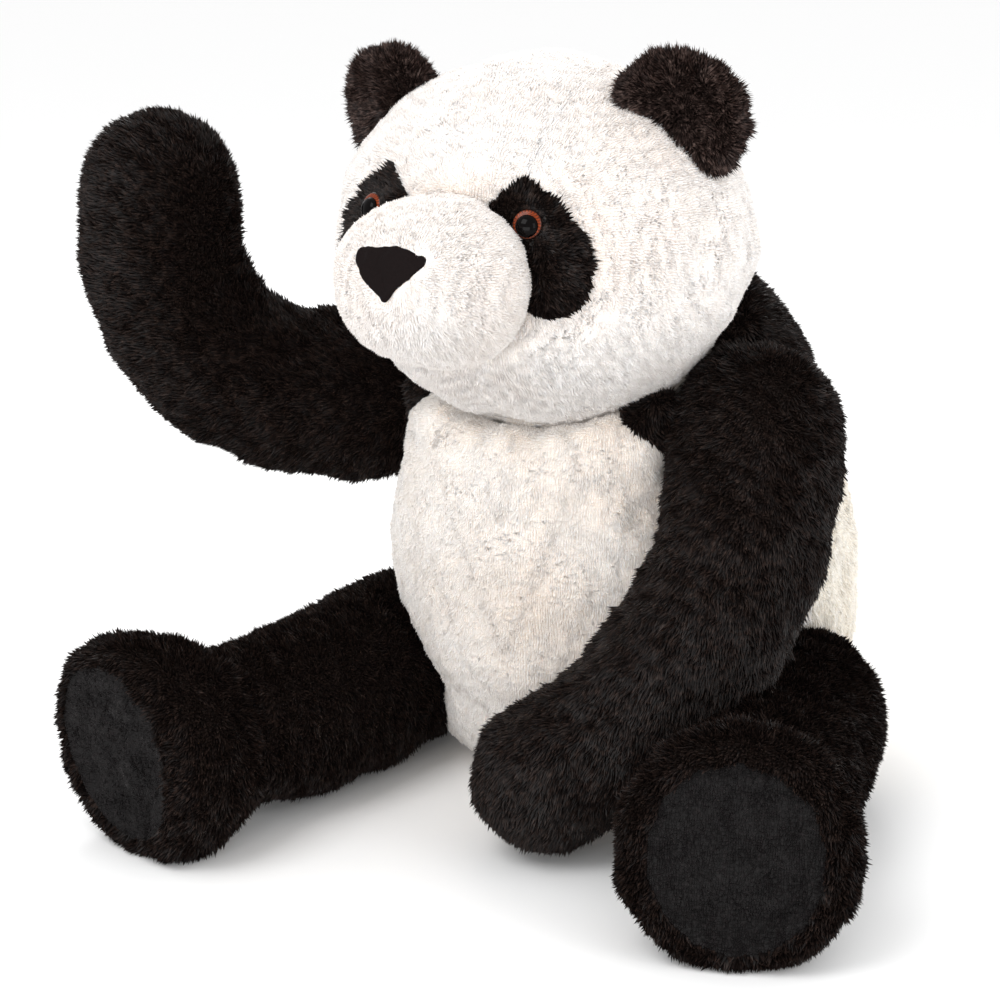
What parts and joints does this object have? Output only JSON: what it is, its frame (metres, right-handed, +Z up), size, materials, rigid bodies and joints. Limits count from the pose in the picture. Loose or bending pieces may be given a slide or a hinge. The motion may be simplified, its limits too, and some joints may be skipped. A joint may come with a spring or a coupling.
{
  "type": "plush panda",
  "caption": "seated stuffed panda with long black and white pile, one paw raised, domed eyes, padded soles and a turning head",
  "frame": {"origin": "middle of the flat seat, on the floor", "axes": "+Z up, the panda faces -Y and its own left side is at +X"},
  "size_m": [0.9347, 0.8293, 0.7635],
  "materials": {
    "seat_panel": "long white pile",
    "belly_panel": "long white pile",
    "back_panel": "cream pile",
    "shoulder_yoke": "long black pile",
    "torso_stuffing": "loose polyester fibrefill",
    "seat_pellet_bag": "cotton bag of pellets",
    "tail_cover": "long white pile",
    "tail_stuffing": "loose polyester fibrefill",
    "seam_label": "woven tape, blank",
    "neck_stuffing": "loose polyester fibrefill",
    "head_crown_gusset": "long white pile",
    "head_left_side": "long white pile",
    "head_right_side": "long white pile",
    "head_stuffing": "loose polyester fibrefill",
    "muzzle_cover": "long white pile",
    "muzzle_stuffing": "loose polyester fibrefill",
    "nose_patch": "short dark nap",
    "left_eye_patch": "long black pile",
    "left_eye_iris": "moulded, glossy",
    "left_eye_pupil": "moulded, high gloss",
    "left_eye_shank": "moulded nylon",
    "left_eye_washer": "moulded nylon",
    "left_ear_front": "long black pile",
    "left_ear_back": "long black pile",
    "left_ear_stuffing": "loose polyester fibrefill",
    "left_arm_front": "long black pile",
    "left_arm_back": "long black pile",
    "left_arm_stuffing": "loose polyester fibrefill",
    "left_leg_inner": "long black pile",
    "left_leg_outer": "long black pile",
    "left_leg_stuffing": "loose polyester fibrefill",
    "left_sole_pad": "short dark nap",
    "right_eye_patch": "long black pile",
    "right_eye_iris": "moulded, glossy",
    "right_eye_pupil": "moulded, high gloss",
    "right_eye_shank": "moulded nylon",
    "right_eye_washer": "moulded nylon",
    "right_ear_front": "long black pile",
    "right_ear_back": "long black pile",
    "right_ear_stuffing": "loose polyester fibrefill",
    "right_arm_front": "long black pile",
    "right_arm_back": "long black pile",
    "right_arm_stuffing": "loose polyester fibrefill",
    "right_leg_inner": "long black pile",
    "right_leg_outer": "long black pile",
    "right_leg_stuffing": "loose polyester fibrefill",
    "right_sole_pad": "short dark nap",
    "left_chest_gore": "long black pile",
    "right_chest_gore": "long black pile"
  },
  "bodies": {
    "torso": {"seat_panel": "seat_panel", "belly_panel": "belly_panel", "back_panel": "back_panel", "shoulder_yoke": "shoulder_yoke", "torso_stuffing": "torso_stuffing", "seat_pellet_bag": "seat_pellet_bag", "tail_cover": "tail_cover", "tail_stuffing": "tail_stuffing", "seam_label": "seam_label", "left_chest_gore": "left_chest_gore", "right_chest_gore": "right_chest_gore"},
    "neck": {"neck_stuffing": "neck_stuffing"},
    "head": {"head_crown_gusset": "head_crown_gusset", "head_left_side": "head_left_side", "head_right_side": "head_right_side", "head_stuffing": "head_stuffing", "muzzle_cover": "muzzle_cover", "muzzle_stuffing": "muzzle_stuffing", "nose_patch": "nose_patch", "left_eye_patch": "left_eye_patch", "left_eye_iris": "left_eye_iris", "left_eye_pupil": "left_eye_pupil", "left_eye_shank": "left_eye_shank", "left_eye_washer": "left_eye_washer", "left_ear_front": "left_ear_front", "left_ear_back": "left_ear_back", "left_ear_stuffing": "left_ear_stuffing", "right_eye_patch": "right_eye_patch", "right_eye_iris": "right_eye_iris", "right_eye_pupil": "right_eye_pupil", "right_eye_shank": "right_eye_shank", "right_eye_washer": "right_eye_washer", "right_ear_front": "right_ear_front", "right_ear_back": "right_ear_back", "right_ear_stuffing": "right_ear_stuffing"},
    "left_arm": {"left_arm_front": "left_arm_front", "left_arm_back": "left_arm_back", "left_arm_stuffing": "left_arm_stuffing"},
    "left_leg": {"left_leg_inner": "left_leg_inner", "left_leg_outer": "left_leg_outer", "left_sole_pad": "left_sole_pad", "left_leg_stuffing": "left_leg_stuffing"},
    "right_arm": {"right_arm_front": "right_arm_front", "right_arm_back": "right_arm_back", "right_arm_stuffing": "right_arm_stuffing"},
    "right_leg": {"right_leg_inner": "right_leg_inner", "right_leg_outer": "right_leg_outer", "right_sole_pad": "right_sole_pad", "right_leg_stuffing": "right_leg_stuffing"}
  },
  "joints": [
    {"name": "neck_turn", "type": "hinge", "parent": "torso", "child": "neck", "pos_m": [0, -0.168, 0.567], "axis": [0, 0, 1], "range_deg": [-20, 20]},
    {"name": "neck_nod", "type": "hinge", "parent": "neck", "child": "head", "pos_m": [0, -0.168, 0.567], "axis": [1, 0, 0], "range_deg": [-8, 8]},
    {"name": "left_shoulder_swing", "type": "hinge", "parent": "torso", "child": "left_arm", "pos_m": [0.2, -0.104, 0.386], "axis": [-0.9806, 0, 0.1961], "range_deg": [0, 55]},
    {"name": "right_shoulder_swing", "type": "hinge", "parent": "torso", "child": "right_arm", "pos_m": [-0.2, -0.104, 0.386], "axis": [-0.9578, 0, 0.2873], "range_deg": [-45, 25]},
    {"name": "left_hip_splay", "type": "hinge", "parent": "torso", "child": "left_leg", "pos_m": [0.23, -0.062, 0.084], "axis": [0, 0, 1], "range_deg": [0, 15]},
    {"name": "right_hip_splay", "type": "hinge", "parent": "torso", "child": "right_leg", "pos_m": [-0.215, -0.104, 0.084], "axis": [0, 0, -1], "range_deg": [-5, 15]}
  ]
}
